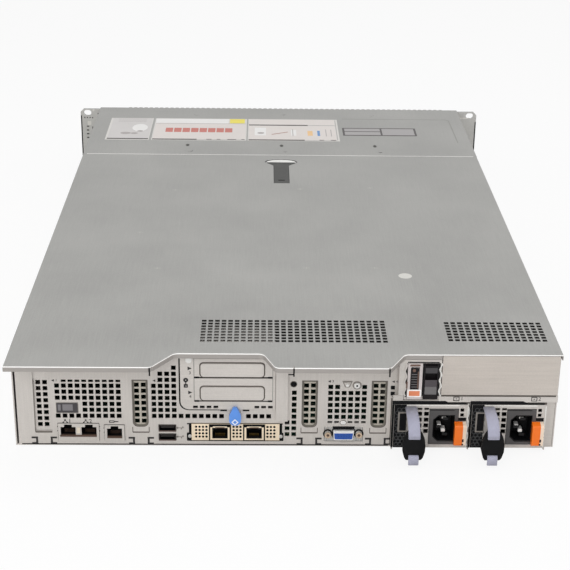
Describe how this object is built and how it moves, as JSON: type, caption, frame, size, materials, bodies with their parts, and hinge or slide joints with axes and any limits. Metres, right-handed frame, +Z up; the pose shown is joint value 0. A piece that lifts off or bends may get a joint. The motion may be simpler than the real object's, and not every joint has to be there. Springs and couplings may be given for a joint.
{
  "type": "ip video recorder",
  "caption": "Two-unit rack-mount network video recorder: perforated steel chassis, sliding roof with latch, pull-out power supplies, storage modules, fans and drives",
  "frame": {"origin": "centre of the footprint's bounding box, at the underside", "axes": "+X to the right as seen from the connector side, +Y from the connector side towards the drives, +Z up"},
  "size_m": [0.482, 0.723, 0.0868],
  "materials": {
    "zinc_sheet": "satin zinc-plated sheet",
    "roof_sheet": "satin zinc-plated sheet, slightly darker",
    "supply_sheet": "satin plated sheet",
    "cream_plate": "pale warm plating",
    "connector_metal": "bright nickel-plated shell",
    "stud_steel": "turned steel",
    "fin_metal": "extruded fins",
    "disk_metal": "cast case",
    "black_plastic": "moulded, fine grain",
    "grey_plastic": "moulded",
    "blue_plastic": "moulded",
    "video_blue": "moulded",
    "orange_plastic": "moulded",
    "white_plastic": "moulded",
    "lilac_strap": "woven webbing",
    "board_green": "circuit board with solder mask",
    "dark_front": "fine textured paint"
  },
  "bodies": {
    "chassis": {"chassis_tray": "zinc_sheet", "rear_wall": "zinc_sheet", "socket_panel": "zinc_sheet", "front_cover": "roof_sheet", "slot_brackets": "zinc_sheet", "riser_panel": "zinc_sheet", "slot_fillers": "zinc_sheet", "lan_sockets": "black_plastic", "usb_sockets": "connector_metal", "vga_connector": "connector_metal", "network_card_plate": "cream_plate", "network_card": "black_plastic", "psu_cage": "zinc_sheet", "psu_blank": "zinc_sheet", "module_bay": "zinc_sheet", "circuit_boards": "board_green", "heat_sinks": "fin_metal", "memory_modules": "board_green", "fan_frames": "black_plastic", "drive_cage": "zinc_sheet", "drive_blanks": "black_plastic", "front_vent": "dark_front", "rack_ear_left": "dark_front", "rack_ear_right": "dark_front", "rail_studs": "stud_steel"},
    "cover": {"top_cover": "roof_sheet", "latch_base": "black_plastic"},
    "latch": {"latch_handle": "black_plastic"},
    "tab": {"release_tab": "blue_plastic"},
    "storage": {"storage_module": "white_plastic"},
    "blank_module": {"module_blank": "black_plastic"},
    "button": {"power_button": "grey_plastic"},
    "supply_1": {"psu_1_case": "supply_sheet", "psu_1_inlet": "black_plastic", "psu_1_handle": "black_plastic", "psu_1_strap": "lilac_strap"},
    "supply_release_1": {"psu_1_release": "orange_plastic"},
    "supply_2": {"psu_2_case": "supply_sheet", "psu_2_inlet": "black_plastic", "psu_2_handle": "black_plastic", "psu_2_strap": "lilac_strap"},
    "supply_release_2": {"psu_2_release": "orange_plastic"},
    "fan_1": {"fan_rotor_1": "grey_plastic"},
    "fan_2": {"fan_rotor_2": "grey_plastic"},
    "fan_3": {"fan_rotor_3": "grey_plastic"},
    "fan_4": {"fan_rotor_4": "grey_plastic"},
    "fan_5": {"fan_rotor_5": "grey_plastic"},
    "fan_6": {"fan_rotor_6": "grey_plastic"},
    "drive_1": {"drive_carrier_1": "dark_front", "hard_disk_1": "disk_metal"},
    "lever_1": {"drive_lever_1": "dark_front"},
    "drive_2": {"drive_carrier_2": "dark_front", "hard_disk_2": "disk_metal"},
    "lever_2": {"drive_lever_2": "dark_front"},
    "drive_3": {"drive_carrier_3": "dark_front", "hard_disk_3": "disk_metal"},
    "lever_3": {"drive_lever_3": "dark_front"},
    "drive_4": {"drive_carrier_4": "dark_front", "hard_disk_4": "disk_metal"},
    "lever_4": {"drive_lever_4": "dark_front"}
  },
  "joints": [
    {"name": "cover_slide", "type": "slide", "parent": "chassis", "child": "cover", "axis": [0, -1, 0], "range_m": [0, 0.012]},
    {"name": "latch_hinge", "type": "hinge", "parent": "cover", "child": "latch", "pos_m": [0.0003, 0.1365, 0.0841], "axis": [-1, 0, 0], "range_deg": [0, 60]},
    {"name": "tab_pull", "type": "slide", "parent": "chassis", "child": "tab", "axis": [0, -1, 0], "range_m": [0, 0.003], "stiffness_N_per_m": 40},
    {"name": "module_slide", "type": "slide", "parent": "chassis", "child": "storage", "axis": [0, -1, 0], "range_m": [0, 0.075]},
    {"name": "blank_module_slide", "type": "slide", "parent": "chassis", "child": "blank_module", "axis": [0, -1, 0], "range_m": [0, 0.075]},
    {"name": "button_press", "type": "slide", "parent": "chassis", "child": "button", "axis": [0, -1, 0], "range_m": [0, 0.001], "stiffness_N_per_m": 60},
    {"name": "supply_slide_1", "type": "slide", "parent": "chassis", "child": "supply_1", "axis": [0, -1, 0], "range_m": [0, 0.18]},
    {"name": "release_squeeze_1", "type": "slide", "parent": "supply_1", "child": "supply_release_1", "axis": [-1, 0, 0], "range_m": [0, 0.002], "stiffness_N_per_m": 60},
    {"name": "supply_slide_2", "type": "slide", "parent": "chassis", "child": "supply_2", "axis": [0, -1, 0], "range_m": [0, 0.18]},
    {"name": "release_squeeze_2", "type": "slide", "parent": "supply_2", "child": "supply_release_2", "axis": [-1, 0, 0], "range_m": [0, 0.002], "stiffness_N_per_m": 60},
    {"name": "fan_spin_1", "type": "hinge", "parent": "chassis", "child": "fan_1", "pos_m": [-0.1725, 0.1095, 0.038], "axis": [0, 1, 0], "continuous": true},
    {"name": "fan_spin_2", "type": "hinge", "parent": "chassis", "child": "fan_2", "pos_m": [-0.1035, 0.1095, 0.038], "axis": [0, 1, 0], "continuous": true},
    {"name": "fan_spin_3", "type": "hinge", "parent": "chassis", "child": "fan_3", "pos_m": [-0.0345, 0.1095, 0.038], "axis": [0, 1, 0], "continuous": true},
    {"name": "fan_spin_4", "type": "hinge", "parent": "chassis", "child": "fan_4", "pos_m": [0.0345, 0.1095, 0.038], "axis": [0, 1, 0], "continuous": true},
    {"name": "fan_spin_5", "type": "hinge", "parent": "chassis", "child": "fan_5", "pos_m": [0.1035, 0.1095, 0.038], "axis": [0, 1, 0], "continuous": true},
    {"name": "fan_spin_6", "type": "hinge", "parent": "chassis", "child": "fan_6", "pos_m": [0.1725, 0.1095, 0.038], "axis": [0, 1, 0], "continuous": true},
    {"name": "drive_slide_1", "type": "slide", "parent": "chassis", "child": "drive_1", "axis": [0, 1, 0], "range_m": [0, 0.16]},
    {"name": "lever_hinge_1", "type": "hinge", "parent": "drive_1", "child": "lever_1", "pos_m": [-0.1996, 0.3589, 0.0169], "axis": [0, 0, 1], "range_deg": [0, 40]},
    {"name": "drive_slide_2", "type": "slide", "parent": "chassis", "child": "drive_2", "axis": [0, 1, 0], "range_m": [0, 0.16]},
    {"name": "lever_hinge_2", "type": "hinge", "parent": "drive_2", "child": "lever_2", "pos_m": [-0.0932, 0.3589, 0.0169], "axis": [0, 0, 1], "range_deg": [0, 40]},
    {"name": "drive_slide_3", "type": "slide", "parent": "chassis", "child": "drive_3", "axis": [0, 1, 0], "range_m": [0, 0.16]},
    {"name": "lever_hinge_3", "type": "hinge", "parent": "drive_3", "child": "lever_3", "pos_m": [0.0132, 0.3589, 0.0169], "axis": [0, 0, 1], "range_deg": [0, 40]},
    {"name": "drive_slide_4", "type": "slide", "parent": "chassis", "child": "drive_4", "axis": [0, 1, 0], "range_m": [0, 0.16]},
    {"name": "lever_hinge_4", "type": "hinge", "parent": "drive_4", "child": "lever_4", "pos_m": [0.1196, 0.3589, 0.0169], "axis": [0, 0, 1], "range_deg": [0, 40]}
  ],
  "couplings": [
    {"joint": "latch_hinge", "follows": "cover_slide", "rad_per_m": 87}
  ]
}
